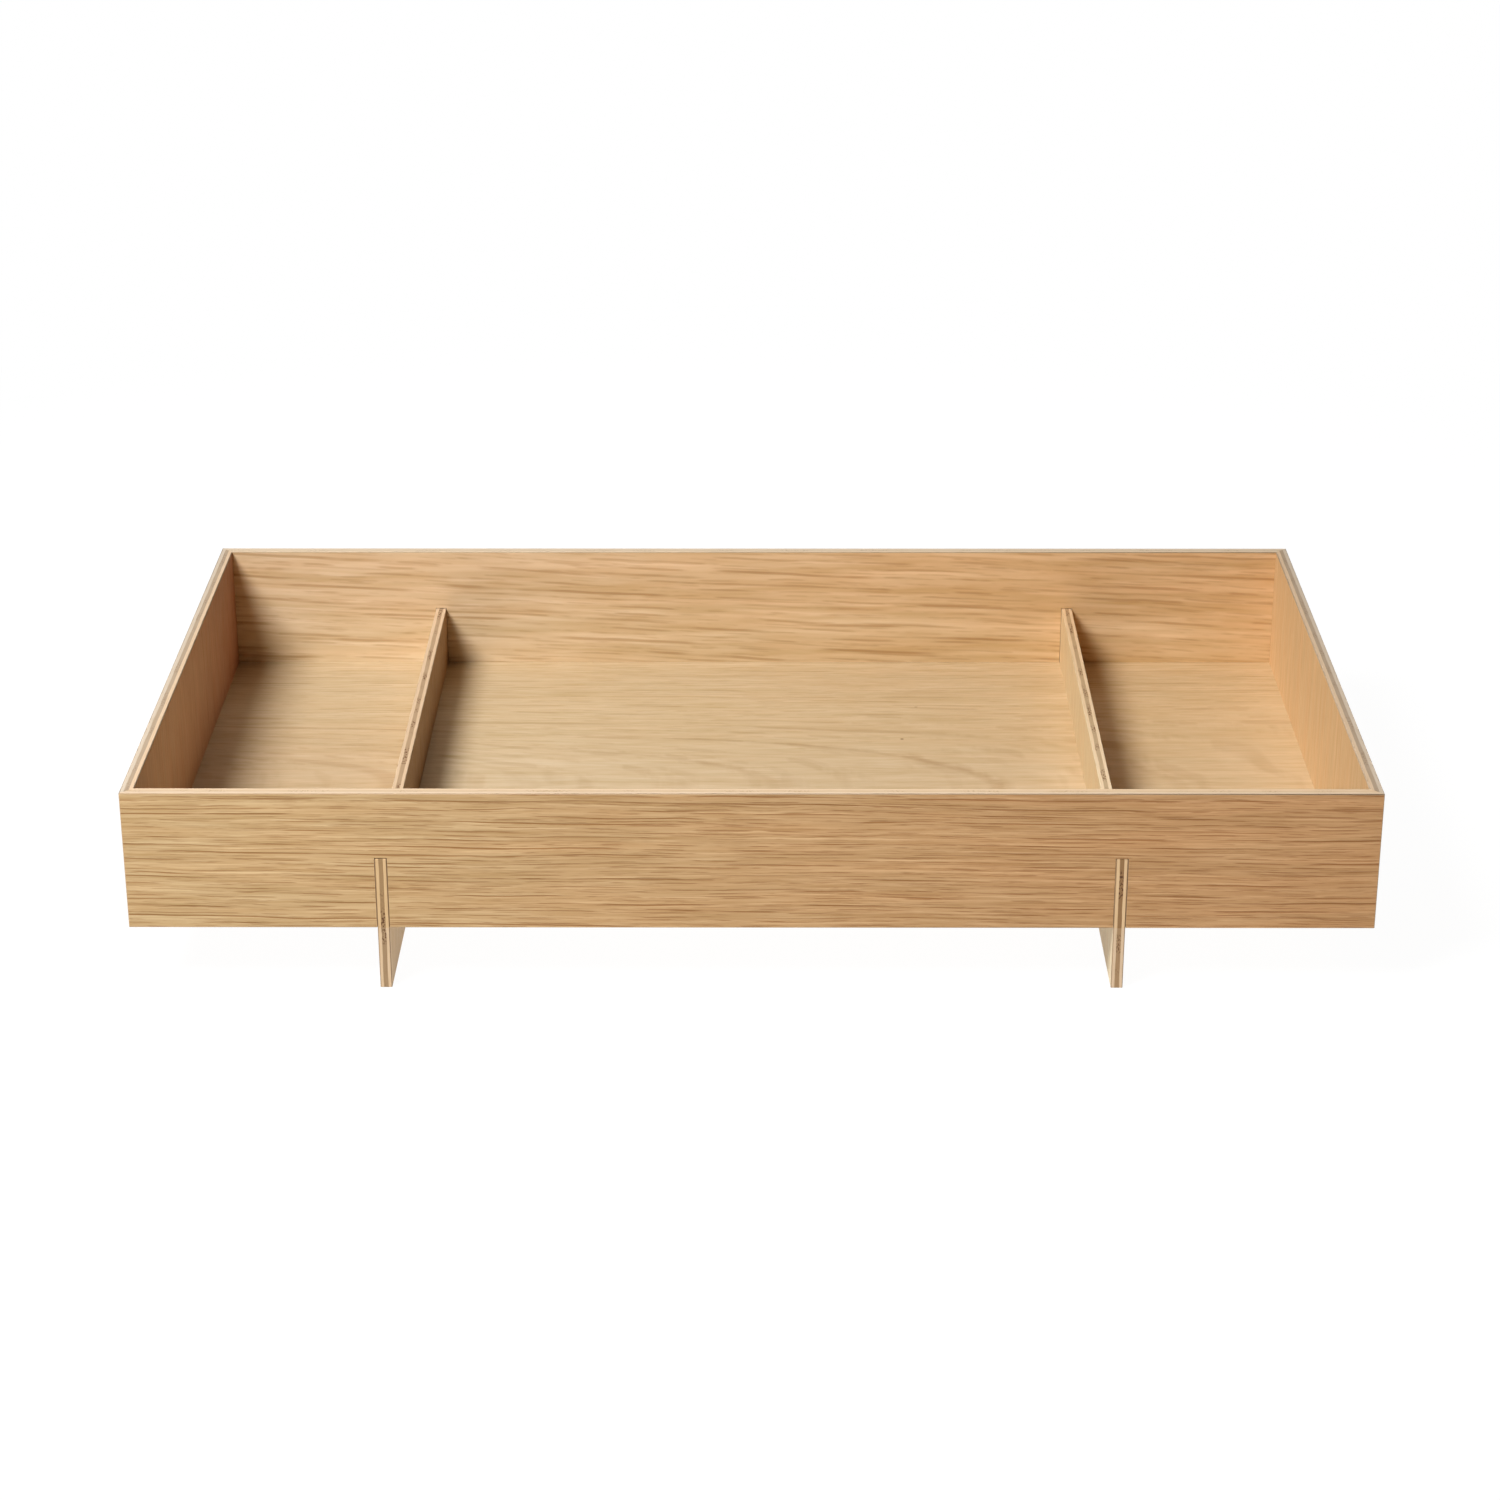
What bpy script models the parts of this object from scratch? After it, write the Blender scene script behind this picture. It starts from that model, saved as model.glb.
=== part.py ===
"""A low oak tray in three compartments, standing on two runner feet.

Four plywood walls are mitred into a frame. Two cross plates run the full depth of the tray: each
one stands on the table as a foot, fills a slot in the front wall and one in the back wall, and
rises above the floor as a divider. Three thin floor panels lie between them, let into a rebate
along the bottom of the walls and into a stopped groove on each face of a plate.

Metres, +Z up. X runs along the tray, Y from front to back. The origin is under the middle of the
tray, on the surface that it stands on.
"""

from math import pi

import bmesh
import bpy
from mathutils import Matrix, Vector

# Overall sizes
TRAY_WIDTH = 0.530
TRAY_DEPTH = 0.300
WALL_HEIGHT = 0.0625
FOOT_HEIGHT = 0.0285

# Cross plates
PLATE_SPACING = 0.313
PLATE_RISE = 0.0323
PLATE_THICKNESS = 0.0051
GROOVE_DEPTH = 0.0012

# Walls
WALL_THICKNESS = 0.0056
REBATE_WIDTH = 0.003

# Floor panels
FLOOR_THICKNESS = 0.003
FLOOR_RECESS = 0.0006

# Fits and finish
JOINT_CLEARANCE = 0.0003
ARRIS = 0.0005
ARRIS_SEGMENTS = 2
CUTTER_OVERRUN = 0.005

# Oak veneer, each board a shade of its own: linear colour and roughness
OAK_FINISHES = {
    "front_wall": ((0.56, 0.36, 0.18), 0.55),
    "back_wall": ((0.58, 0.37, 0.19), 0.55),
    "left_wall": ((0.54, 0.34, 0.17), 0.55),
    "right_wall": ((0.60, 0.38, 0.19), 0.55),
    "left_divider": ((0.60, 0.40, 0.22), 0.55),
    "right_divider": ((0.61, 0.41, 0.22), 0.55),
    "floor_left": ((0.62, 0.42, 0.23), 0.5),
    "floor_centre": ((0.63, 0.43, 0.24), 0.5),
    "floor_right": ((0.61, 0.42, 0.23), 0.5),
}

# Levels and half sizes that several boards share
FLOOR_BOTTOM = FOOT_HEIGHT + FLOOR_RECESS
FLOOR_TOP = FLOOR_BOTTOM + FLOOR_THICKNESS
PLATE_TOP = FOOT_HEIGHT + PLATE_RISE
REBATE_TOP = FLOOR_RECESS + FLOOR_THICKNESS + JOINT_CLEARANCE
WALL_LIP = WALL_THICKNESS - REBATE_WIDTH
PANEL_HALF_DEPTH = TRAY_DEPTH / 2 - WALL_LIP - JOINT_CLEARANCE


def clear_scene():
    """Start from an empty scene."""
    for existing in list(bpy.data.objects):
        bpy.data.objects.remove(existing, do_unlink=True)


def oak(node):
    """The board's own material, in its own shade of oak."""
    colour, roughness = OAK_FINISHES[node]
    material = bpy.data.materials.new(node + "_oak")
    material.use_nodes = True
    shader = material.node_tree.nodes["Principled BSDF"]
    shader.inputs["Base Color"].default_value = (*colour, 1.0)
    shader.inputs["Roughness"].default_value = roughness
    shader.inputs["Metallic"].default_value = 0.0
    return material


def finish_object(name, bm, parent):
    """Turn a bmesh into a named object under the tray's empty."""
    mesh = bpy.data.meshes.new(name)
    bm.to_mesh(mesh)
    bm.free()
    made = bpy.data.objects.new(name, mesh)
    bpy.context.scene.collection.objects.link(made)
    made.parent = parent
    return made


def extrude_outline(outline, travel):
    """A prism: a flat outline, pushed along a straight path."""
    bm = bmesh.new()
    face = bm.faces.new([bm.verts.new(corner) for corner in outline])
    pushed = bmesh.ops.extrude_face_region(bm, geom=[face])
    far_end = [part for part in pushed["geom"] if isinstance(part, bmesh.types.BMVert)]
    bmesh.ops.translate(bm, verts=far_end, vec=travel)
    bmesh.ops.recalc_face_normals(bm, faces=bm.faces)
    return bm


def ease_edges(bm, edges):
    """Round sharp edges the way a sanding block does."""
    bmesh.ops.bevel(
        bm,
        geom=edges,
        offset=ARRIS,
        offset_type="OFFSET",
        segments=ARRIS_SEGMENTS,
        profile=0.5,
        affect="EDGES",
        material=-1,
        clamp_overlap=True,
    )


def saw_off(bm, point, normal):
    """Cut through a plane, drop what lies on the normal's side and close the cut."""
    everything = bm.verts[:] + bm.edges[:] + bm.faces[:]
    cut = bmesh.ops.bisect_plane(
        bm, geom=everything, plane_co=point, plane_no=normal, clear_outer=True
    )
    rim = [part for part in cut["geom_cut"] if isinstance(part, bmesh.types.BMEdge)]
    bmesh.ops.edgeloop_fill(bm, edges=rim)
    bmesh.ops.recalc_face_normals(bm, faces=bm.faces)


def wall_section(start):
    """A wall seen on its end: Y runs inwards from the outer face, and the rebate is low inside."""
    return [
        Vector((start, 0.0, 0.0)),
        Vector((start, WALL_LIP, 0.0)),
        Vector((start, WALL_LIP, REBATE_TOP)),
        Vector((start, WALL_THICKNESS, REBATE_TOP)),
        Vector((start, WALL_THICKNESS, WALL_HEIGHT)),
        Vector((start, 0.0, WALL_HEIGHT)),
    ]


def is_eased(edge):
    """The wall's long edges that a hand meets: both rim edges and the outer one below."""
    ends = [vert.co for vert in edge.verts]
    at_rim = all(end.z > WALL_HEIGHT - ARRIS for end in ends)
    at_outer_foot = all(end.z < ARRIS and end.y < ARRIS for end in ends)
    runs_along = abs(ends[0].x - ends[1].x) > WALL_THICKNESS
    return runs_along and (at_rim or at_outer_foot)


def wall_board(run):
    """One moulded wall of the given outer length, mitred at both ends, outer face on y = 0."""
    bm = extrude_outline(wall_section(-run / 2), Vector((run, 0.0, 0.0)))
    ease_edges(bm, [edge for edge in bm.edges if is_eased(edge)])
    for side in (-1, 1):
        corner = Vector((side * run / 2, 0.0, 0.0))
        along_mitre = Vector((side, 1.0, 0.0)).normalized()
        saw_off(bm, corner - along_mitre * JOINT_CLEARANCE / 2, along_mitre)
        corner_round = Vector((side * (run / 2 - ARRIS), 0.0, 0.0))
        saw_off(bm, corner_round, Vector((side, -1.0, 0.0)).normalized())
    return bm


def make_wall(name, run, offset, turn, parent):
    """Stand a wall on the floor line: turned about Z, its outer face this far from the centre."""
    wall = finish_object(name, wall_board(run), parent)
    wall.rotation_euler.z = turn
    outward = Matrix.Rotation(turn, 3, "Z") @ Vector((0.0, -1.0, 0.0))
    wall.location = outward * offset + Vector((0.0, 0.0, FOOT_HEIGHT))
    wall.data.materials.append(oak(name))
    return wall


def cross_plate(height, thickness, half_depth):
    """A full-depth plate on edge, standing on z = 0, square to X."""
    outline = [
        Vector((-thickness / 2, -half_depth, 0.0)),
        Vector((-thickness / 2, half_depth, 0.0)),
        Vector((-thickness / 2, half_depth, height)),
        Vector((-thickness / 2, -half_depth, height)),
    ]
    return extrude_outline(outline, Vector((thickness, 0.0, 0.0)))


def make_divider(name, side, parent):
    """A cross plate: runner foot below the walls, divider above the floor."""
    bm = cross_plate(PLATE_TOP, PLATE_THICKNESS, TRAY_DEPTH / 2)
    ease_edges(bm, bm.edges[:])
    plate = finish_object(name, bm, parent)
    plate.location.x = side * PLATE_SPACING / 2
    plate.data.materials.append(oak(name))
    return plate


def make_panel(name, left, right, growth, parent):
    """A floor panel between two x positions, grown on every side when it serves as a cutter."""
    low, high = left - growth, right + growth
    half_depth = PANEL_HALF_DEPTH + growth
    outline = [
        Vector((low, -half_depth, FLOOR_BOTTOM - growth)),
        Vector((high, -half_depth, FLOOR_BOTTOM - growth)),
        Vector((high, half_depth, FLOOR_BOTTOM - growth)),
        Vector((low, half_depth, FLOOR_BOTTOM - growth)),
    ]
    bm = extrude_outline(outline, Vector((0.0, 0.0, FLOOR_THICKNESS + 2 * growth)))
    return finish_object(name, bm, parent)


def as_cutter(cutter):
    """Mark an object as a tool: it shapes other boards and is no piece of the tray."""
    cutter.hide_render = True
    cutter.display_type = "WIRE"
    return cutter


def cut_with(board, cutter):
    """Take a cutter's shape out of a board."""
    cut = board.modifiers.new("cut_" + cutter.name, "BOOLEAN")
    cut.operation = "DIFFERENCE"
    cut.solver = "EXACT"
    cut.object = cutter


def slot_cutter(name, side, parent):
    """The room that a cross plate needs in a long wall: the plate and its clearance."""
    height = PLATE_TOP + JOINT_CLEARANCE
    thickness = PLATE_THICKNESS + 2 * JOINT_CLEARANCE
    half_depth = TRAY_DEPTH / 2 + CUTTER_OVERRUN
    cutter = finish_object(name, cross_plate(height, thickness, half_depth), parent)
    cutter.location.x = side * PLATE_SPACING / 2
    return as_cutter(cutter)


def panel_spans():
    """Where each floor panel starts and ends along X, tucked into the rebate and the grooves."""
    outer = TRAY_WIDTH / 2 - WALL_LIP - JOINT_CLEARANCE
    tuck = PLATE_THICKNESS / 2 - GROOVE_DEPTH + JOINT_CLEARANCE
    beyond_plate = PLATE_SPACING / 2 + tuck
    inside_plate = PLATE_SPACING / 2 - tuck
    return {
        "floor_left": (-outer, -beyond_plate),
        "floor_centre": (-inside_plate, inside_plate),
        "floor_right": (beyond_plate, outer),
    }


def build_tray():
    """All nine boards and the cutters that shape their joints."""
    tray = bpy.data.objects.new("tray", None)
    bpy.context.scene.collection.objects.link(tray)

    long_walls = [
        make_wall("front_wall", TRAY_WIDTH, TRAY_DEPTH / 2, 0.0, tray),
        make_wall("back_wall", TRAY_WIDTH, TRAY_DEPTH / 2, pi, tray),
    ]
    make_wall("left_wall", TRAY_DEPTH, TRAY_WIDTH / 2, -pi / 2, tray)
    make_wall("right_wall", TRAY_DEPTH, TRAY_WIDTH / 2, pi / 2, tray)

    dividers = {
        -1: make_divider("left_divider", -1, tray),
        1: make_divider("right_divider", 1, tray),
    }
    for side, name in ((-1, "left_slot_cutter"), (1, "right_slot_cutter")):
        cutter = slot_cutter(name, side, tray)
        for wall in long_walls:
            cut_with(wall, cutter)

    beside = {"floor_left": (-1,), "floor_centre": (-1, 1), "floor_right": (1,)}
    for name, (left, right) in panel_spans().items():
        panel = make_panel(name, left, right, 0.0, tray)
        panel.data.materials.append(oak(name))
        groove = as_cutter(make_panel(name + "_groove_cutter", left, right, JOINT_CLEARANCE, tray))
        for side in beside[name]:
            cut_with(dividers[side], groove)


clear_scene()
build_tray()
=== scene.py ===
# %% [markdown]
# # A low oak tray in three compartments
# The tray is nine thin plywood boards, faced with oak veneer and glued together: four mitred walls,
# two cross plates that are feet below and dividers above, and three floor panels. The solid model
# settles where each board is. This lesson makes the boards again with eased edges and close joints,
# gives each its own oak, and lights them the way a small product studio would.

from math import copysign, cos, pi, radians, sin

import bmesh
import bpy
from mathutils import Matrix, Vector


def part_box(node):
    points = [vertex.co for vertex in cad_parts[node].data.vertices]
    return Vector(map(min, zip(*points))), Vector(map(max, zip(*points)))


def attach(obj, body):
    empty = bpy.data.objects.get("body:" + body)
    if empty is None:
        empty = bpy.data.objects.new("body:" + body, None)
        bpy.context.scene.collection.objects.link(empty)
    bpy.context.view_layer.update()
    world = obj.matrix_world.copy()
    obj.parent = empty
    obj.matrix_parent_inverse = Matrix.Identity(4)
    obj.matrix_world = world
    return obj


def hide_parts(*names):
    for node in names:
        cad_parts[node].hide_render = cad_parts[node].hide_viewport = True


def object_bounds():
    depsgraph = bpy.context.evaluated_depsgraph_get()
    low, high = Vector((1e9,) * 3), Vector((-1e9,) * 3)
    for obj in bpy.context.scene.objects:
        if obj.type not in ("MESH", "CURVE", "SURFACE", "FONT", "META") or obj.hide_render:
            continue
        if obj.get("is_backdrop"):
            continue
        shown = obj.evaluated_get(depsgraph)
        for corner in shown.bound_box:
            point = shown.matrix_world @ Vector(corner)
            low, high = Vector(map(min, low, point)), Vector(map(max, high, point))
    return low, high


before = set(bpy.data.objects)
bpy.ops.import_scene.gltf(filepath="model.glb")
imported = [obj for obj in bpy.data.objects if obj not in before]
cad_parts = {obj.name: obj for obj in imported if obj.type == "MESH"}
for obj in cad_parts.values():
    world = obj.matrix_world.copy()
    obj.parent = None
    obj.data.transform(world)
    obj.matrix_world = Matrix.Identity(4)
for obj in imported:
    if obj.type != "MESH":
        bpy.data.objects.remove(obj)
cad_low, cad_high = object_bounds()

MM = 0.001
sides = [round(side / MM, 1) for side in cad_high - cad_low]
print("solid model:", len(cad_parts), "boards,", sides, "mm")

# %% [markdown]
# Every board's size and place come from the solid model, so nothing has to be fitted by eye. The
# rebate and the grooves can't be read from a board's box, so theirs are written down again. What is
# new here is smaller than a millimetre: how far an edge is rounded, and how open a glued joint is.
# The solid model keeps 0.3 mm between boards, and a real glue line is much closer than that. Only
# a plate's slot stays a little open, 0.3 mm above the plate, because that dark line can be seen.

# %% Read the sizes
front_low, front_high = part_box("front_wall")
left_low, left_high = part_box("left_wall")
plate_low, plate_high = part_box("right_divider")
panel_low, panel_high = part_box("floor_centre")

TRAY_LENGTH = cad_high.x - cad_low.x
TRAY_DEPTH = cad_high.y - cad_low.y
WALL_BASE = front_low.z
WALL_HEIGHT = front_high.z - front_low.z
WALL_THICKNESS = front_high.y - front_low.y
PLATE_THICKNESS = plate_high.x - plate_low.x
PLATE_CENTRE = (plate_high.x + plate_low.x) / 2
PLATE_TOP = plate_high.z
PANEL_BOTTOM = panel_low.z
PANEL_TOP = panel_high.z

ARRIS = 0.4 * MM
ARRIS_STEPS = 3
PLATE_ARRIS = 0.75 * ARRIS
FINE_ARRIS = 0.18 * MM
FINE_STEPS = 2
SLOT_GAP = 0.15 * MM
SLOT_HEADROOM = 0.3 * MM
HAIRLINE = 0.04 * MM
REBATE_WIDTH = 3 * MM
GROOVE_DEPTH = 1.2 * MM
print("wall", round(WALL_HEIGHT / MM, 2), "x", round(WALL_THICKNESS / MM, 2), "mm")
print("plate", round(PLATE_THICKNESS / MM, 2), "mm")

# %% [markdown]
# The camera was fitted to the corners, the rims and the feet. It stands a metre and a half in front
# of the tray's middle and 0.68 m above the table, and looks down by 23 degrees. A long lens keeps
# the perspective mild. Pitch, yaw and roll are turned into one matrix, which is easier to reason
# about than three Euler angles in some order.

# %% Place the camera
CAMERA_PLACE = Vector((0.0067, -1.4616, 0.6771))
CAMERA_PITCH = radians(23.346)
CAMERA_YAW = radians(0.311)
CAMERA_ROLL = radians(0.086)
LENS = 82.42
SENSOR = 36.0

camera_data = bpy.data.cameras.new("studio_camera")
camera_data.lens = LENS
camera_data.sensor_width = SENSOR
camera = bpy.data.objects.new("studio_camera", camera_data)
aim = Matrix.Rotation(CAMERA_YAW, 4, "Z") @ Matrix.Rotation(pi / 2 - CAMERA_PITCH, 4, "X")
camera.matrix_world = Matrix.Translation(CAMERA_PLACE) @ aim @ Matrix.Rotation(-CAMERA_ROLL, 4, "Z")
bpy.context.scene.collection.objects.link(camera)
bpy.context.scene.camera = camera
bpy.context.scene.view_settings.view_transform = "Standard"
print("camera at", [round(value, 3) for value in camera.location])

# %% [markdown]
# Materials are built from nodes, and shader maths reads best as plain Python. The small class below
# wraps a socket that carries a number, so that an expression such as 1 - mask adds its own Math
# node. A recipe holds one material, or the world, and has a single method that adds any other node.

# %% Write shader maths as Python
class Signal:
    """A socket that carries one number, with Python's operators."""

    def __init__(self, recipe, socket):
        self.recipe = recipe
        self.socket = socket

    def math(self, operation, *values):
        """Add one Math node."""
        return self.recipe.node("ShaderNodeMath", {"operation": operation}, dict(enumerate(values)))

    def __add__(self, other):
        return self.math("ADD", self, other)

    def __radd__(self, other):
        return self.math("ADD", other, self)

    def __sub__(self, other):
        return self.math("SUBTRACT", self, other)

    def __rsub__(self, other):
        return self.math("SUBTRACT", other, self)

    def __mul__(self, other):
        return self.math("MULTIPLY", self, other)

    def __rmul__(self, other):
        return self.math("MULTIPLY", other, self)

    def __truediv__(self, other):
        return self.math("DIVIDE", self, other)

    def __rtruediv__(self, other):
        return self.math("DIVIDE", other, self)

    def __abs__(self):
        return self.math("ABSOLUTE", self)

    def __gt__(self, other):
        return self.math("GREATER_THAN", self, other)

    def whole(self):
        """The whole number below."""
        return self.math("FLOOR", self)

    def part(self):
        """What is left above the whole number."""
        return self.math("FRACT", self)

    def larger(self, other):
        """The larger one of two numbers."""
        return self.math("MAXIMUM", self, other)


# %% Add any other node with one method
class Recipe:
    """A material or the world, and the nodes in it."""

    def __init__(self, owner):
        owner.use_nodes = True
        self.owner = owner
        self.tree = owner.node_tree

    def node(self, kind, settings=None, inputs=None, output=0):
        """Add a node: settings first, then the values or links of its sockets."""
        made = self.tree.nodes.new(kind)
        for setting, value in (settings or {}).items():
            setattr(made, setting, value)
        for key, value in (inputs or {}).items():
            self.feed(find_socket(made.inputs, key), value)
        return Signal(self, find_socket(made.outputs, output))

    def feed(self, socket, value):
        """Link a signal to a socket, or set the socket's own value."""
        if isinstance(value, Signal):
            self.tree.links.new(value.socket, socket)
        elif socket.type == "RGBA":
            socket.default_value = (*value, 1.0)
        else:
            socket.default_value = value

    def give(self, name, inputs):
        """Feed a node that was there from the start, such as the Principled BSDF."""
        for key, value in inputs.items():
            self.feed(self.tree.nodes[name].inputs[key], value)


def find_socket(sockets, key):
    """A socket by its place, or by its identifier, which is unique where names are not."""
    if isinstance(key, int):
        return sockets[key]
    return next(socket for socket in sockets if key in (socket.identifier, socket.name))


# %% [markdown]
# A few words that every wood recipe uses. Noise is always read in two stretched directions,
# because wood is long cells: a mark that is half a millimetre across runs for twenty along the
# grain. Places are Object coordinates in millimetres, so the pattern stays put on each board.

# %% Name the marks that wood is drawn with
NOISE_MIDDLE = 0.5


def place_on_board(recipe):
    """Millimetres along X, Y and Z, in the tray's own frame."""
    place = recipe.node("ShaderNodeTexCoord", output="Object")
    scale = {0: place, "Scale": 1 / MM}
    scaled = recipe.node("ShaderNodeVectorMath", {"operation": "SCALE"}, scale)
    return {axis: recipe.node("ShaderNodeSeparateXYZ", None, {0: scaled}, axis) for axis in "XYZ"}


def flat_place(recipe, along, across):
    """Two signals as a place for a flat texture."""
    return recipe.node("ShaderNodeCombineXYZ", None, {0: along, 1: across})


def flat_distance(recipe, along, across):
    """How far a flat place is from the middle."""
    offset = {0: flat_place(recipe, along, across)}
    return recipe.node("ShaderNodeVectorMath", {"operation": "LENGTH"}, offset, "Value")


def noise(recipe, along, across, detail=2.0, roughness=0.5):
    """Soft noise about zero, from about -0.5 to 0.5."""
    inputs = {"Vector": flat_place(recipe, along, across), "Scale": 1.0}
    inputs.update({"Detail": detail, "Roughness": roughness})
    shade = recipe.node("ShaderNodeTexNoise", {"noise_dimensions": "2D"}, inputs, "Fac")
    return shade - NOISE_MIDDLE


def ramp(recipe, value, low, high):
    """0 below low and 1 above high, with a smooth step between."""
    inputs = {"Value": value, "From Min": low, "From Max": high}
    return recipe.node("ShaderNodeMapRange", {"interpolation_type": "SMOOTHSTEP"}, inputs)


# %% [markdown]
# Colours go through Mix nodes, because a Math node would turn them grey. Wood does not darken
# evenly: a dark fibre loses more blue than red, so it looks browner as well as darker.

# %% Lay one colour over another
WOOD_TINT = (0.74, 1.04, 1.7)


def mix(recipe, amount, first, second, blend="MIX"):
    """The second colour laid over the first."""
    inputs = {"Factor_Float": amount, "A_Color": first, "B_Color": second}
    settings = {"data_type": "RGBA", "blend_type": blend, "clamp_factor": True}
    return recipe.node("ShaderNodeMix", settings, inputs, "Result_Color")


def stain(recipe, amount, colour, tone):
    """A colour multiplied by a tone, as far as the amount says."""
    return mix(recipe, amount, colour, tone, "MULTIPLY")


def shade_wood(recipe, colour, change):
    """Lighten or darken a wood colour: its blue changes most and its red least."""
    red, green, blue = WOOD_TINT
    factors = {0: 1 + change * red, 1: 1 + change * green, 2: 1 + change * blue}
    return stain(recipe, 1.0, colour, recipe.node("ShaderNodeCombineColor", None, factors))


# %% [markdown]
# Oak is ring-porous: each year starts with a row of large pores, which the slicer cuts lengthwise
# into short dark dashes, and ends with dense pale wood. So the recipe first works out how many
# rings lie between a point and the heart, then draws dashes where a ring starts. A sheet that was
# cut straight shows parallel rings. A flat-cut sheet cuts a tapering trunk, so its rings are
# arches.

# %% Count the rings
SLOW_LENGTH, SLOW_WIDTH = 190, 45
QUICK_LENGTH, QUICK_WIDTH, QUICK_SHARE = 42, 9, 0.35


def straight_rings(recipe, along, across, look):
    """Nearly parallel rings, one every few millimetres, drifting a little along the board."""
    return across + along * look["drift"]


def arched_rings(recipe, along, across, look):
    """Rings of a tapering trunk, cut flat: arches near the axis, level lines away from it."""
    off_axis = across - look["axis"]
    near_axis = 1 - ramp(recipe, abs(off_axis), *look["heart_reach"])
    return off_axis * off_axis / (2 * look["heart"]) + along * near_axis * look["drift"]


def wander(recipe, along, across, look):
    """How far the grain leaves its straight course, in millimetres."""
    seed, reach = look["seed"], look["wander"]
    slow = noise(recipe, along / SLOW_LENGTH + seed, across / SLOW_WIDTH, detail=1.0)
    quick = noise(recipe, along / QUICK_LENGTH, across / QUICK_WIDTH + seed, detail=2.0)
    return slow * reach + quick * (QUICK_SHARE * reach)


# %% [markdown]
# Pores could be a picture wrapped round the board, but a picture repeats and blurs. Here each ring
# carries one line. The ring's number gives it its own luck, which shifts it inside the ring, and
# noise along the grain lets it bend, swell and fade, so that it breaks into dashes. Four rows lie
# over each other: large, small and fine pores, and the pale wood between them.

# %% Draw the pores
BEND_LENGTH, BEND_STEP, BEND_SHARE = 2.5, 5.3, 0.5
LUCK_STEP, SWELL_STEP = 91, 7.7
LINE_START, LINE_PLAY = 0.25, 0.5
LINE_FADE = (-0.05, 0.11)
LINE_BODY, LINE_SOFTNESS = 0.8, 0.5

# Pitch, length and width as shares of the large row's, and the step between their seeds
PORE_ROWS = {
    "large": (1.0, 1.0, 1.0, 0),
    "small": (0.53, 0.45, 0.8, 50),
    "fine": (0.31, 0.3, 0.6, 70),
    "pale": (0.8, 0.8, 1.2, 90),
}
SMALL_STRENGTH, FINE_STRENGTH = 0.75, 0.45


def chance(recipe, value):
    """A random number from 0 to 1, the same for the same value."""
    return recipe.node("ShaderNodeTexWhiteNoise", {"noise_dimensions": "1D"}, {"W": value}, "Value")


def broken_lines(recipe, along, rings, pitch, length, width, seed):
    """One line in each ring, which swells and fades along the grain like a row of cut pores."""
    count = rings / pitch + seed
    ring = count.whole()
    luck = chance(recipe, ring)
    bend = noise(recipe, along / (BEND_LENGTH * length), ring * BEND_STEP, detail=1.0)
    swell = noise(recipe, along / length + luck * LUCK_STEP, ring * SWELL_STEP, detail=3.0)
    off_line = (count.part() - LINE_START - luck * LINE_PLAY) * pitch + bend * (BEND_SHARE * pitch)
    inside = width * (LINE_BODY + swell) - abs(off_line)
    soft = LINE_SOFTNESS * width
    return ramp(recipe, swell, *LINE_FADE) * ramp(recipe, inside, -soft, soft)


def pore_rows(recipe, along, rings, look):
    """Each row by its name."""
    rows = {}
    for name, (pitch, length, width, step) in PORE_ROWS.items():
        size = (pitch * look["pitch"], length * look["length"], width * look["width"])
        rows[name] = broken_lines(recipe, along, rings, *size, look["seed"] + step)
    return rows


# %% [markdown]
# The veneer starts from two tones, one at each end of a span, because no sheet of oak keeps one
# colour over half a metre; on a plate the tones change at the floor, and the foot's tone is painted
# light from the table. A board may have other tones on its far face, and these are painted light
# and shade for that face.
# Over them lie soft bands and fibres along the grain, and blotches that make the wood warmer. The
# pores are multiplied in, so they stay darker than the wood round them. A stripe along the board
# may have a tone of its own, as near the heart of a floor panel, where a few rings are darker as
# well. The two pin knots there are only small dark spots.

# %% Mark the heart of a flat-cut sheet
PORE_BROWN = (0.50, 0.33, 0.13)
KNOT_BROWN = (0.30, 0.20, 0.10)
RING_FRAY = 0.6
RING_LINE = (0.05, 0.35)
RING_BREAKS = (-0.55, -0.05)
KNOT_CORE = 0.4


def draw_dark_rings(recipe, colour, rings, fibres, blotches, near_heart, look):
    """A few rings that are darker than the rest, frayed and broken, and only near the heart."""
    for ring, strength in look["dark_rings"]:
        line = 1 - ramp(recipe, abs(rings - ring + fibres * RING_FRAY), *RING_LINE)
        line = line * ramp(recipe, blotches + fibres, *RING_BREAKS)
        colour = stain(recipe, line * near_heart * strength, colour, PORE_BROWN)
    return colour


def draw_pin_knots(recipe, colour, place, look):
    """Small dark spots at given places, soft at the rim."""
    for knot_along, knot_across, radius, strength in look["pin_knots"]:
        along = place[look["grain"]] - knot_along
        across = place[look["across"]] - knot_across
        spot = 1 - ramp(recipe, flat_distance(recipe, along, across), KNOT_CORE * radius, radius)
        colour = stain(recipe, spot * strength, colour, KNOT_BROWN)
    return colour


# %% Make the veneer
FACE_SHIFT_ALONG, FACE_SHIFT_ACROSS = 137.0, 61.0
BLOTCH_LENGTH, BLOTCH_WIDTH, BLOTCH_SHADE = 80, 9, 0.08
FINE_GRAIN = dict(detail=3.0, roughness=0.55)
WARM_TONE = (1.0, 0.86, 0.72)
WARM_BANDS = 0.7
WARM_RANGE = (-0.25, 0.3)
SATIN, PORE_ROUGHNESS, FIBRE_GLOSS = 0.5, 0.2, 0.15
FIBRE_RELIEF = 0.25
VENEER_BUMP = {"Strength": 0.5, "Distance": 0.15 * MM}


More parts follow.
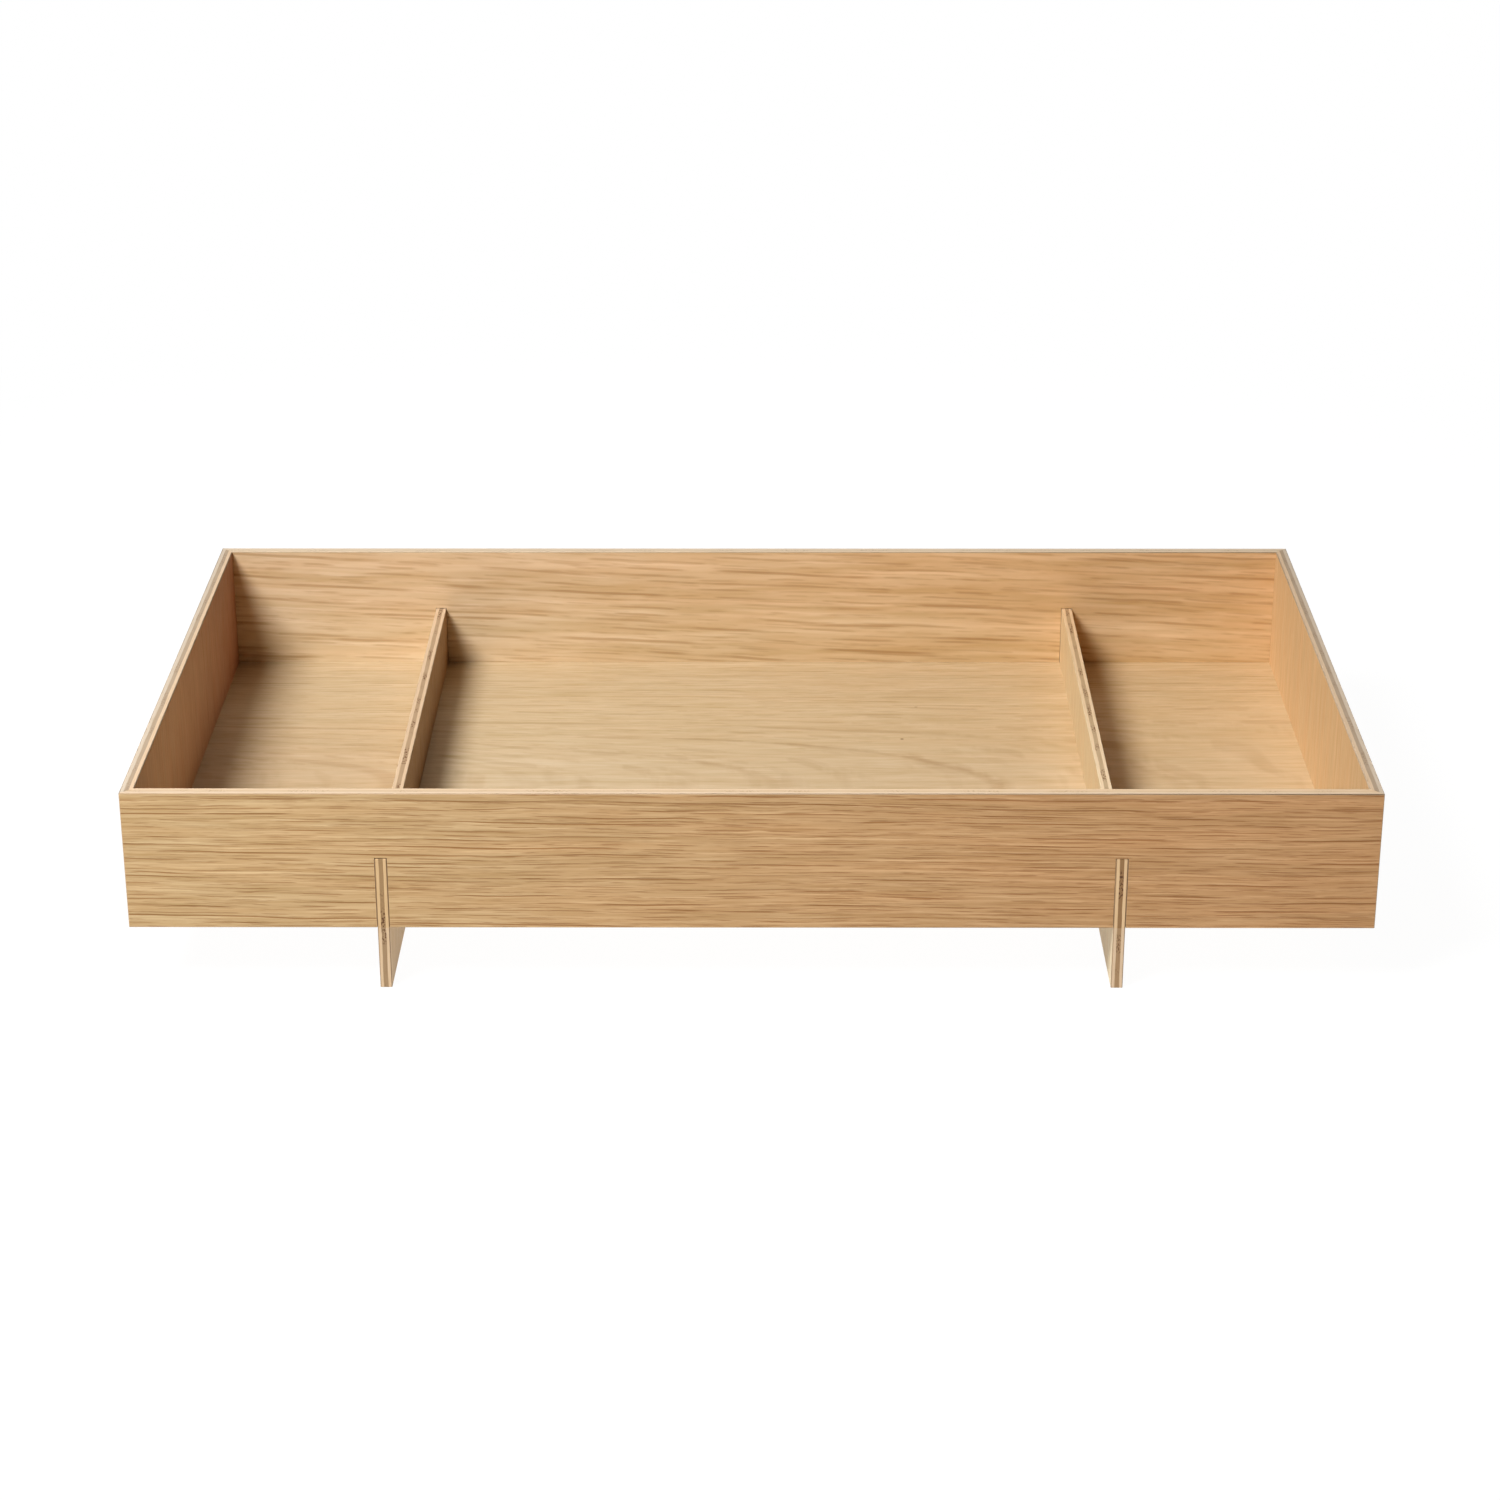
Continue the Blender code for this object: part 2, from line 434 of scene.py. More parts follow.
def oak_veneer(name, look):
    """Satin oak veneer: two tones from end to end, soft bands, fine fibres and open pores."""
    recipe = Recipe(bpy.data.materials.new(name))
    place = place_on_board(recipe)
    seed = look["seed"]
    side = place[look["thickness"]] > look["middle"]
    along = place[look["grain"]] + side * FACE_SHIFT_ALONG
    flat_across = place[look["across"]] + side * FACE_SHIFT_ACROSS
    bend = wander(recipe, along, flat_across, look)
    across = flat_across + bend
    rings = look["rings"](recipe, place[look["grain"]], place[look["across"]] + bend, look)

    rows = pore_rows(recipe, along, rings, look)
    pores = rows["large"].larger(rows["small"] * SMALL_STRENGTH)
    pores = pores.larger(rows["fine"] * FINE_STRENGTH)
    band_across = across / look["band_width"] + seed
    bands = noise(recipe, along / look["band_length"], band_across, **FINE_GRAIN)
    fibre_across = across / look["fibre_width"] + seed
    fibres = noise(recipe, along / look["fibre_length"], fibre_across, **FINE_GRAIN)
    blotches = noise(recipe, along / BLOTCH_LENGTH + seed, across / BLOTCH_WIDTH, detail=2.0)

    way = ramp(recipe, place[look["length_axis"]], *look["span"])
    colour = mix(recipe, way, *look["tones"])
    # The far face's tones are painted light and shade, standing in for how the lamps light that
    # face.
    if look["far_tones"]:
        colour = mix(recipe, side, colour, mix(recipe, way, *look["far_tones"]))
    off_axis = abs(place[look["across"]] - look["axis"])
    near_heart = 1 - ramp(recipe, off_axis, *look["heart_reach"])
    in_stripe = 1 - ramp(recipe, off_axis, *look["stripe_reach"])
    colour = stain(recipe, in_stripe, colour, look["stripe_tone"])
    change = bands * look["bands"] + fibres * look["fibres"]
    change = change + blotches * BLOTCH_SHADE + rows["pale"] * look["pale"]
    colour = shade_wood(recipe, colour, change)
    warmth = ramp(recipe, bands * WARM_BANDS + blotches, *WARM_RANGE)
    colour = stain(recipe, warmth * look["warm"], colour, WARM_TONE)
    colour = stain(recipe, pores * look["pores"], colour, PORE_BROWN)
    colour = draw_dark_rings(recipe, colour, rings, fibres, blotches, near_heart, look)
    colour = draw_pin_knots(recipe, colour, place, look)

    height = fibres * FIBRE_RELIEF - pores * look["relief"]
    recipe.give("Principled BSDF", {
        "Base Color": colour,
        "Roughness": SATIN + pores * PORE_ROUGHNESS - fibres * FIBRE_GLOSS,
        "Normal": recipe.node("ShaderNodeBump", None, {"Height": height, **VENEER_BUMP}),
    })
    return recipe.owner


# %% [markdown]
# On an edge the plywood shows its layers. The two face veneers are almost half a millimetre of oak.
# Under each lies a pale sheet of birch, and the core between them is cut across its grain, so it is
# darker and has small open cells. The recipe needs only the distance from the board's mid-plane.
# Tones are multiplied in where an edge is seen in another way: on a plate's sawn ends, inside a
# wall's slot, in the core of either, and from one end of a rim to the other.

# %% Make the plywood edge
CELL_BROWN = (0.34, 0.20, 0.10)
OAK_SKIN, SKIN_BLUR = 0.4, 0.1
CORE_BLUR = 0.15
WAVER_LENGTH, WAVER_WIDTH, WAVER_REACH = 16, 4, 0.5
STREAK_LENGTH, STREAK_WIDTH = 12, 0.4
CELL_LENGTH, CELL_WIDTH = 1.1, 0.9
CELL_RANGE = (0.01, 0.10)
REGION_LENGTH, REGION_ROW = 20, 3.0
REGION_RANGE = (-0.02, 0.08)
ROUGH_PLIES = dict(detail=3.0, roughness=0.6)
OPEN_CELLS = dict(detail=2.0, roughness=0.6)
END_FACE = TRAY_DEPTH / 2 / MM
END_GRAIN = (END_FACE - 0.9, END_FACE - 0.4)
SAWN, HOLE_ROUGHNESS = 0.6, 0.2
STREAK_RELIEF = 0.4
EDGE_BUMP = {"Strength": 0.4, "Distance": 0.12 * MM}


def plywood_edge(name, look):
    """Layers of a plywood edge, from the mid-plane out: core, birch and oak skin."""
    recipe = Recipe(bpy.data.materials.new(name))
    place = place_on_board(recipe)
    seed = look["seed"]
    through = place[look["thickness"]] - look["middle"]
    run = place[look["run"]] + place[look["rise"]]
    waver = noise(recipe, run / WAVER_LENGTH + seed, through / WAVER_WIDTH, detail=2.0)
    off_core = abs(through + waver * WAVER_REACH)
    core_rim = look["core"]
    core = 1 - ramp(recipe, off_core, core_rim - CORE_BLUR, core_rim + CORE_BLUR)
    skin_rim = look["board"] / 2 - OAK_SKIN
    skin = ramp(recipe, abs(through), skin_rim - SKIN_BLUR, skin_rim + SKIN_BLUR)
    outside = through * copysign(1.0, look["middle"]) > 0.0

    streaks = noise(recipe, run / STREAK_LENGTH, through / STREAK_WIDTH + seed, **ROUGH_PLIES)
    cells = noise(recipe, run / CELL_LENGTH, through / CELL_WIDTH + seed, **OPEN_CELLS)
    region = noise(recipe, run / REGION_LENGTH + seed, REGION_ROW, detail=1.0)
    holes = core * ramp(recipe, cells, *CELL_RANGE) * ramp(recipe, region, *REGION_RANGE)
    end_grain = ramp(recipe, abs(place["Y"]), *END_GRAIN)
    in_slot = end_grain * (place["Z"] > WALL_BASE / MM)

    colour = mix(recipe, outside, look["birch"], look["outer_birch"])
    colour = mix(recipe, core, colour, look["core_colour"])
    colour = mix(recipe, skin, colour, mix(recipe, end_grain, look["rim_skin"], look["skin"]))
    colour = shade_wood(recipe, colour, streaks * look["streaks"])
    colour = stain(recipe, holes * look["holes"], colour, CELL_BROWN)
    colour = stain(recipe, end_grain, colour, look["end_tone"])
    colour = stain(recipe, in_slot, colour, look["slot_tone"])
    colour = stain(recipe, end_grain * core, colour, look["end_core_tone"])
    colour = stain(recipe, in_slot * core, colour, look["slot_core_tone"])
    way = ramp(recipe, place[look["run"]], *look["span"])
    colour = stain(recipe, 1 - end_grain, colour, mix(recipe, way, *look["length_tones"]))

    height = streaks * STREAK_RELIEF - holes
    recipe.give("Principled BSDF", {
        "Base Color": colour,
        "Roughness": SAWN + holes * HOLE_ROUGHNESS,
        "Normal": recipe.node("ShaderNodeBump", None, {"Height": height, **EDGE_BUMP}),
    })
    return recipe.owner


# %% [markdown]
# Each board's look is a few named values: which way its grain runs, how its rings lie, its tones at
# the left and the right end, and how strong its marks are. The walls at the ends and the dividers
# are cut from the sheet the other way round, so their grain stands upright. Only what differs from
# the usual oak is written down for a board.

# %% Name the usual oak
LONG_SPAN = (front_low.x / MM, front_high.x / MM)
SHORT_SPAN = (left_low.y / MM, left_high.y / MM)
FOOT_SPAN = (WALL_BASE / MM, PANEL_TOP / MM)
UNCHANGED = (1.0, 1.0, 1.0)

# Grain, across the grain, through the board
LENGTHWISE = ("X", "Z", "Y")
UPRIGHT = ("Z", "Y", "X")
LYING = ("X", "Y", "Z")

USUAL_VENEER = dict(
    rings=straight_rings, drift=0.0, wander=4.0, pitch=3.4, length=55.0, width=0.30,
    fibre_length=45.0, fibre_width=1.5, band_length=260.0, band_width=6.0,
    bands=0.4, fibres=0.72, pale=0.2, warm=0.4, pores=0.85, relief=1.0,
    length_axis="X", span=LONG_SPAN, far_tones=None,
    axis=0.0, heart_reach=(15.0, 110.0), stripe_reach=(5.0, 45.0), stripe_tone=UNCHANGED,
    dark_rings=(), pin_knots=(),
)


def veneer_look(directions, middle, seed, **values):
    """One board's veneer: its directions, its mid-plane, and what differs from the usual oak."""
    grain, across, thickness = directions
    own = dict(grain=grain, across=across, thickness=thickness, middle=middle / MM, seed=seed)
    return {**USUAL_VENEER, **own, **values}


# %% Choose the oak of the walls and the plates
front_middle = (front_low.y + front_high.y) / 2
left_middle = (left_low.x + left_high.x) / 2
panel_middle = (panel_low.z + panel_high.z) / 2

# A plate's tones change at the floor, and the first is its foot's. On the right divider the foot's
# greyer tone is painted light: the foot stands in shade and is lit from the white table.
PLATE_OAK = dict(bands=0.10, fibres=0.12, pores=0.25, length_axis="Z", span=FOOT_SPAN)
VENEERS = {
    "front_wall": veneer_look(
        LENGTHWISE, front_middle, 3.1, drift=0.012,
        tones=((0.444, 0.289, 0.127), (0.434, 0.231, 0.087))),
    "back_wall": veneer_look(
        LENGTHWISE, -front_middle, 8.7, drift=0.05, pitch=7.0, wander=4.5, length=85.0, width=0.75,
        fibre_width=3.6, pores=0.5, fibres=0.38, bands=0.62, band_width=8.0, pale=0.12, warm=0.28,
        relief=0.4, axis=34.0, stripe_tone=(0.96, 1.015, 1.035),
        tones=((0.705, 0.497, 0.290), (0.690, 0.437, 0.216))),
    # The left wall's inner face gets painted light and shade: a lighter tone at the front and a
    # much darker one at the back, where shade gathers in the corner.
    "left_wall": veneer_look(
        UPRIGHT, left_middle, 14.3, bands=0.12, fibres=0.15, pores=0.3,
        length_axis="Y", span=SHORT_SPAN,
        tones=((0.60, 0.405, 0.215), (0.58, 0.385, 0.20)),
        far_tones=((0.83, 0.535, 0.32), (0.455, 0.21, 0.115))),
    "right_wall": veneer_look(
        UPRIGHT, -left_middle, 21.9, bands=0.12, fibres=0.09, pores=0.15,
        tones=((0.67, 0.432, 0.211), (0.67, 0.432, 0.211))),
    # The left divider's right face, turned from the lamp, gets painted shade: a dark tone above the
    # floor, and a lighter, greyer one on its foot, which is painted light from the table.
    "left_divider": veneer_look(
        UPRIGHT, -PLATE_CENTRE, 27.4, **PLATE_OAK,
        tones=((0.62, 0.45, 0.24), (0.62, 0.45, 0.24)),
        far_tones=((0.518, 0.370, 0.188), (0.385, 0.222, 0.092))),
    # The right divider's first tone, the foot's, is greyer: painted light from the white table
    # round the shaded foot.
    "right_divider": veneer_look(
        UPRIGHT, PLATE_CENTRE, 33.8, **PLATE_OAK,
        tones=((0.57, 0.475, 0.30), (0.67, 0.50, 0.28))),
}

# %% Choose the oak of the floor
FLOOR_OAK = dict(
    rings=arched_rings, axis=-10.0, heart=220.0, drift=0.055, wander=2.5,
    pitch=5.0, length=45.0, width=0.45, fibre_length=18.0, fibre_width=1.7,
    band_length=85.0, band_width=5.0, bands=0.40, fibres=0.29, pores=0.22, pale=0.05, warm=0.2,
    stripe_reach=(18.0, 60.0), stripe_tone=(1.03, 1.05, 1.10),
    dark_rings=((-5.6, 0.12), (0.6, 0.18), (6.2, 0.30), (10.9, 0.14)),
    pin_knots=((79.3, 85.8, 1.2, 0.35), (71.1, 46.1, 1.1, 0.9)),
)
FLOOR_SEED = 40.2
FLOOR_TONES = {
    "floor_left": dict(
        length_axis="Y", span=(0.0, 120.0),
        tones=((0.508, 0.357, 0.199), (0.548, 0.405, 0.236))),
    "floor_centre": dict(tones=((0.567, 0.424, 0.249), (0.562, 0.391, 0.211))),
    "floor_right": dict(tones=((0.574, 0.399, 0.212), (0.574, 0.399, 0.212))),
}
for panel, tones in FLOOR_TONES.items():
    VENEERS[panel] = veneer_look(LYING, panel_middle, FLOOR_SEED, **FLOOR_OAK, **tones)
print("veneers:", ", ".join(VENEERS))

# %% [markdown]
# Edges differ as much as faces do. The long rims are pale birch between two darker lines of oak. A
# plate's sawn end is darker, with a brown core whose open cells show as flecks, and its top is so
# well sanded that even its skin is pale. The seed of a plate was chosen for where its flecks lie.

# %% Choose each board's edge
USUAL_EDGE = dict(
    core=0.9, birch=(0.67, 0.485, 0.315), outer_birch=(0.60, 0.49, 0.37),
    core_colour=(0.42, 0.31, 0.21), skin=(0.45, 0.33, 0.22), streaks=0.35, holes=0.28,
    end_tone=UNCHANGED, end_core_tone=UNCHANGED, slot_tone=UNCHANGED, slot_core_tone=UNCHANGED,
    length_tones=(UNCHANGED, UNCHANGED),
)


def edge_look(directions, middle, board, seed, **values):
    """One board's edge: directions, mid-plane and thickness, and what differs from the usual."""
    run, rise, thickness = directions
    look = dict(USUAL_EDGE, run=run, rise=rise, thickness=thickness, seed=seed)
    look.update(middle=middle / MM, board=board / MM, span=LONG_SPAN if run == "X" else SHORT_SPAN)
    look.update(values)
    look.setdefault("rim_skin", look["skin"])
    return look


# Along the edge, up or across it, through the board
LONG_EDGE = ("X", "Z", "Y")
SHORT_EDGE = ("Y", "Z", "X")
PANEL_EDGE = ("X", "Y", "Z")
PANEL_SEED = 29.0

LONG_RIM = dict(
    birch=(0.71, 0.53, 0.355), outer_birch=(0.70, 0.54, 0.39),
    core_colour=(0.64, 0.47, 0.31), skin=(0.46, 0.31, 0.18),
)
PLATE_EDGE = dict(
    birch=(0.66, 0.465, 0.29), outer_birch=(0.66, 0.465, 0.29), core_colour=(0.42, 0.275, 0.155),
    skin=(0.33, 0.21, 0.115), rim_skin=(0.60, 0.44, 0.275), core=0.95, holes=1.0,
)
EDGES = {
    "front_wall": edge_look(
        LONG_EDGE, front_middle, WALL_THICKNESS, 2.2, **LONG_RIM,
        length_tones=((0.945, 0.93, 0.90), (1.07, 1.045, 0.98))),
    "back_wall": edge_look(
        LONG_EDGE, -front_middle, WALL_THICKNESS, 5.9, **LONG_RIM,
        length_tones=((1.01, 1.06, 1.10), (1.01, 1.06, 1.10))),
    "left_wall": edge_look(SHORT_EDGE, left_middle, WALL_THICKNESS, 9.3),
    "right_wall": edge_look(SHORT_EDGE, -left_middle, WALL_THICKNESS, 12.6),
    "left_divider": edge_look(
        SHORT_EDGE, -PLATE_CENTRE, PLATE_THICKNESS, 19.5, **PLATE_EDGE,
        end_tone=(0.85, 0.84, 0.80), slot_tone=(0.97, 0.90, 0.72),
        end_core_tone=(0.80, 0.76, 0.66)),
    "right_divider": edge_look(
        SHORT_EDGE, PLATE_CENTRE, PLATE_THICKNESS, 31.7, **PLATE_EDGE,
        end_tone=(0.92, 0.93, 0.94), slot_tone=(1.01, 0.94, 0.78),
        end_core_tone=(0.82, 0.73, 0.57), slot_core_tone=(0.74, 0.67, 0.55),
        length_tones=((1.26, 1.38, 1.44), (1.10, 1.05, 0.93))),
}
for panel in FLOOR_TONES:
    EDGES[panel] = edge_look(PANEL_EDGE, panel_middle, PANEL_TOP - PANEL_BOTTOM, PANEL_SEED)
print("edges:", ", ".join(EDGES))

# %% [markdown]
# A board could be a stretched cube with a Bevel modifier, but its joints are what make it this
# tray: the mitre, the rebate for the floor and the slots for the feet. So it is drawn the way it is
# cut. The outline of the outer face is pushed inwards by the lip's thickness, the inner face is
# split along the rebate, and only its upper part is pushed on to the full thickness.

# %% Small tools for working a board
ALONG = Vector((1.0, 0.0, 0.0))
BACK = Vector((0.0, 1.0, 0.0))
UP = Vector((0.0, 0.0, 1.0))
FACE_LIMIT = cos(radians(5))


def start_outline(corners):
    """A new bmesh with one flat face."""
    bm = bmesh.new()
    face = bm.faces.new([bm.verts.new(corner) for corner in corners])
    return bm, face


def with_rims(faces):
    """Faces together with their edges and corners, which bmesh operators ask for."""
    return list({part: None for face in faces for part in (face, *face.edges, *face.verts)})


def push(bm, faces, travel):
    """Extrude faces along a straight path and return the ones at the far end."""
    made = bmesh.ops.extrude_face_region(bm, geom=with_rims(faces))
    far_end = [part for part in made["geom"] if isinstance(part, bmesh.types.BMVert)]
    bmesh.ops.translate(bm, verts=far_end, vec=travel)
    return [part for part in made["geom"] if isinstance(part, bmesh.types.BMFace)]


def scribe(bm, faces, point, normal):
    """Split faces along a plane, leaving everything in place."""
    bmesh.ops.bisect_plane(bm, geom=with_rims(faces), plane_co=point, plane_no=normal)


def saw_off(bm, point, normal):
    """Cut through a plane, drop what lies on the normal's side and close the cut."""
    everything = bm.verts[:] + bm.edges[:] + bm.faces[:]
    cut = bmesh.ops.bisect_plane(
        bm, geom=everything, plane_co=point, plane_no=normal, clear_outer=True)
    rim = [part for part in cut["geom_cut"] if isinstance(part, bmesh.types.BMEdge)]
    bmesh.ops.edgeloop_fill(bm, edges=rim)


def ease(bm, edges, radius, segments):
    """Round edges as sandpaper does."""
    made = bmesh.ops.bevel(
        bm, geom=edges, offset=radius, offset_type="OFFSET", segments=segments,
        profile=0.5, affect="EDGES", material=-1, clamp_overlap=True)
    for face in made["faces"]:
        face.smooth = True


def finish_board(bm, name, through):
    """Turn a bmesh into a board: veneer on its two faces and plywood layers everywhere else."""
    bmesh.ops.recalc_face_normals(bm, faces=bm.faces)
    for face in bm.faces:
        face.material_index = 0 if abs(face.normal.dot(through)) > FACE_LIMIT else 1
    mesh = bpy.data.meshes.new(name)
    bm.to_mesh(mesh)
    bm.free()
    board = bpy.data.objects.new(name, mesh)
    bpy.context.scene.collection.objects.link(board)
    return board


# %% [markdown]
# Walls are drawn lying along X with their outer face on y = 0, then turned into place. The
# slots are part of the outline. Both ends are sawn at 45 degrees, and the outer corner is rounded
# by two more cuts that touch a circle, so that two neighbouring walls share one round corner.

# %% Find the edges of a wall
SLOT_HALF = PLATE_THICKNESS / 2 + SLOT_GAP
SLOT_TOP = PLATE_TOP - WALL_BASE + SLOT_HEADROOM
REBATE_TOP = PANEL_TOP - WALL_BASE + HAIRLINE
CLOSE = HAIRLINE / 4


def wall_outline(run, slots):
    """The outer face's corners, with each slot open at the bottom edge."""
    corners = [(-run / 2, 0.0)]
    for centre in slots:
        left, right = centre - SLOT_HALF, centre + SLOT_HALF
        corners += [(left, 0.0), (left, SLOT_TOP), (right, SLOT_TOP), (right, 0.0)]
    corners += [(run / 2, 0.0), (run / 2, WALL_HEIGHT), (-run / 2, WALL_HEIGHT)]
    return [Vector((x, 0.0, z)) for x, z in corners]


def long_edge(bm, across, level):
    """The edge along X at one place of the wall's section, in as many parts as the slots leave."""
    found = []
    for edge in bm.edges:
        ends = [vert.co for vert in edge.verts]
        in_place = all(abs(end.y - across) < CLOSE and abs(end.z - level) < CLOSE for end in ends)
        if in_place and abs(ends[0].x - ends[1].x) > 2 * WALL_THICKNESS:
            found.append(edge)
    return found


def slot_edges(bm):
    """Edges round the slots' mouths, on the outer and the inner face."""
    found = []
    for edge in bm.edges:
        ends = [vert.co for vert in edge.verts]
        along_wall = abs(ends[0].y - ends[1].y) < HAIRLINE
        beside_slot = all(abs(abs(end.x) - PLATE_CENTRE) < PLATE_THICKNESS for end in ends)
        if along_wall and beside_slot and max(end.z for end in ends) <= SLOT_TOP + HAIRLINE:
            found.append(edge)
    return found


# %% Cut a wall
LIP = WALL_THICKNESS - REBATE_WIDTH
EASED_EDGES = ((0.0, WALL_HEIGHT), (WALL_THICKNESS, WALL_HEIGHT), (0.0, 0.0))
CORNER_CUTS = (pi / 12, pi / 4)


def mitre_end(bm, run, side):
    """Saw one end at 45 degrees, then round its outer corner."""
    corner = Vector((side * run / 2, 0.0, 0.0))
    mitre = Vector((side, 1.0, 0.0)).normalized()
    saw_off(bm, corner - mitre * HAIRLINE / 2, mitre)
    centre = Vector((side * (run / 2 - ARRIS), ARRIS, 0.0))
    for angle in CORNER_CUTS:
        outward = Vector((side * sin(angle), -cos(angle), 0.0))
        saw_off(bm, centre + outward * ARRIS, outward)


def cut_wall(run, slots):
    """One wall along X, with its rebate, slots, mitres and round corners."""
    bm, outer = start_outline(wall_outline(run, slots))
    inner = push(bm, [outer], BACK * LIP)
    scribe(bm, inner, UP * REBATE_TOP, UP)
    upper = [
        face for face in bm.faces
        if all(vert.co.y > LIP / 2 for vert in face.verts)
        and face.calc_center_bounds().z > REBATE_TOP
    ]
    push(bm, upper, BACK * REBATE_WIDTH)
    bmesh.ops.recalc_face_normals(bm, faces=bm.faces)
    for across, level in EASED_EDGES:
        ease(bm, long_edge(bm, across, level), ARRIS, ARRIS_STEPS)
    ease(bm, slot_edges(bm), FINE_ARRIS, FINE_STEPS)
    for side in (-1, 1):
        mitre_end(bm, run, side)
    return bm


def place_wall(name, run, offset, angle, slots=()):
    """Cut a wall, turn it about Z and stand it at its distance from the middle."""
    bm = cut_wall(run, slots)
    spin = Matrix.Rotation(angle, 4, "Z")
    shift = Matrix.Translation(Vector((0.0, -offset, WALL_BASE)))
    bmesh.ops.transform(bm, matrix=spin @ shift, verts=bm.verts)
    return finish_board(bm, name, spin @ BACK)


BOTH_SLOTS = (-PLATE_CENTRE, PLATE_CENTRE)
boards = {
    "front_wall": place_wall("front_wall_board", TRAY_LENGTH, TRAY_DEPTH / 2, 0.0, BOTH_SLOTS),
    "back_wall": place_wall("back_wall_board", TRAY_LENGTH, TRAY_DEPTH / 2, pi, BOTH_SLOTS),
    "left_wall": place_wall("left_wall_board", TRAY_DEPTH, TRAY_LENGTH / 2, -pi / 2),
    "right_wall": place_wall("right_wall_board", TRAY_DEPTH, TRAY_LENGTH / 2, pi / 2),
}
for name, board in boards.items():
    print(name, len(board.data.polygons), "faces")

# %% [markdown]
# A cross plate is one board from the table to the divider's top. Its groove for the floor is
# stopped before both ends, so it never shows. The groove's rectangle is scribed on the face with
# four planes, and the face inside is pushed into the board.

# %% Cut a cross plate
GROOVE_LOW = PANEL_BOTTOM - HAIRLINE
GROOVE_HIGH = PANEL_TOP + HAIRLINE
PANEL_HALF_DEPTH = TRAY_DEPTH / 2 - WALL_THICKNESS + REBATE_WIDTH - HAIRLINE
GROOVE_HALF = PANEL_HALF_DEPTH + HAIRLINE


def faces_at(bm, x):
    """The faces that lie flat at one place along X."""
    return [
        face for face in bm.faces
        if all(abs(vert.co.x - x) < HAIRLINE for vert in face.verts)
    ]


def cut_groove(bm, face_x, inward):
    """Sink a stopped groove into the face that lies at face_x."""
    for level in (GROOVE_LOW, GROOVE_HIGH):
        scribe(bm, faces_at(bm, face_x), UP * level, UP)
    for end in (-GROOVE_HALF, GROOVE_HALF):
        scribe(bm, faces_at(bm, face_x), BACK * end, BACK)
    sunk = [
        face for face in faces_at(bm, face_x)
        if GROOVE_LOW < face.calc_center_bounds().z < GROOVE_HIGH
        and abs(face.calc_center_bounds().y) < GROOVE_HALF
    ]
    push(bm, sunk, ALONG * inward * GROOVE_DEPTH)


def cut_plate(name, centre):
    """A cross plate: foot, slot tongue and divider in one board."""
    left, right = centre - PLATE_THICKNESS / 2, centre + PLATE_THICKNESS / 2
    front = -TRAY_DEPTH / 2
    corners = [(left, 0.0), (right, 0.0), (right, PLATE_TOP), (left, PLATE_TOP)]
    bm, face = start_outline([Vector((x, front, z)) for x, z in corners])
    push(bm, [face], BACK * TRAY_DEPTH)
    bmesh.ops.recalc_face_normals(bm, faces=bm.faces)
    ease(bm, bm.edges[:], PLATE_ARRIS, ARRIS_STEPS)
    cut_groove(bm, left, 1)
    cut_groove(bm, right, -1)
    return finish_board(bm, name, ALONG)


boards["left_divider"] = cut_plate("left_divider_plate", -PLATE_CENTRE)
boards["right_divider"] = cut_plate("right_divider_plate", PLATE_CENTRE)
print("plates from the table to", round(PLATE_TOP / MM, 2), "mm")

# %% [markdown]
# The floor panels are thinner plywood. Their rims are tucked into the walls' rebate and the plates'
# grooves, where only a hairline is left. All their edges are just broken with sandpaper.

# %% Cut the floor panels
TUCK = PLATE_THICKNESS / 2 - GROOVE_DEPTH + HAIRLINE
WALL_TUCK = TRAY_LENGTH / 2 - WALL_THICKNESS + REBATE_WIDTH - HAIRLINE
PANEL_SPANS = {
    "floor_left": (-WALL_TUCK, -PLATE_CENTRE - TUCK),
    "floor_centre": (-PLATE_CENTRE + TUCK, PLATE_CENTRE - TUCK),
    "floor_right": (PLATE_CENTRE + TUCK, WALL_TUCK),
}


def cut_panel(name, left, right):
    """One floor panel between two places along X."""
    front, back = -PANEL_HALF_DEPTH, PANEL_HALF_DEPTH
    corners = [(left, front), (right, front), (right, back), (left, back)]
    bm, face = start_outline([Vector((x, y, PANEL_BOTTOM)) for x, y in corners])
    push(bm, [face], UP * (PANEL_TOP - PANEL_BOTTOM))
    bmesh.ops.recalc_face_normals(bm, faces=bm.faces)
    ease(bm, bm.edges[:], FINE_ARRIS, FINE_STEPS)
    return finish_board(bm, name, UP)


for node, (left, right) in PANEL_SPANS.items():
    boards[node] = cut_panel(node + "_panel", left, right)
    print(node, round((right - left) / MM, 1), "mm wide")

# %% [markdown]
# Each board gets its veneer on the two faces and its layers on the edges. It rides on the tray's
# one body and stands in for the solid model's board of the same name.

# %% Dress every board and tie it to the model
SLOTS = {"wall": "oak_wall", "divider": "oak_plate", "floor": "oak_floor"}

for node, board in boards.items():
    board.data.materials.append(oak_veneer(node + "_veneer", VENEERS[node]))
    board.data.materials.append(plywood_edge(node + "_edge", EDGES[node]))
    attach(board, "root")
    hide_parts(node)
    next(slot for word, slot in SLOTS.items() if word in node)
print("dressed", len(boards), "boards")

# %% [markdown]
# The tray stands in a white studio. One soft lamp high on the left front gives the dividers their
# slanting shadows. A wide weak halo round it softens them, and a panel above the back lights the
# rims from behind. Both are a little warm, while the lamp is a little cool. The room's own light is
# very weak, so that the corners stay deep, and only the camera sees the room as plain white.

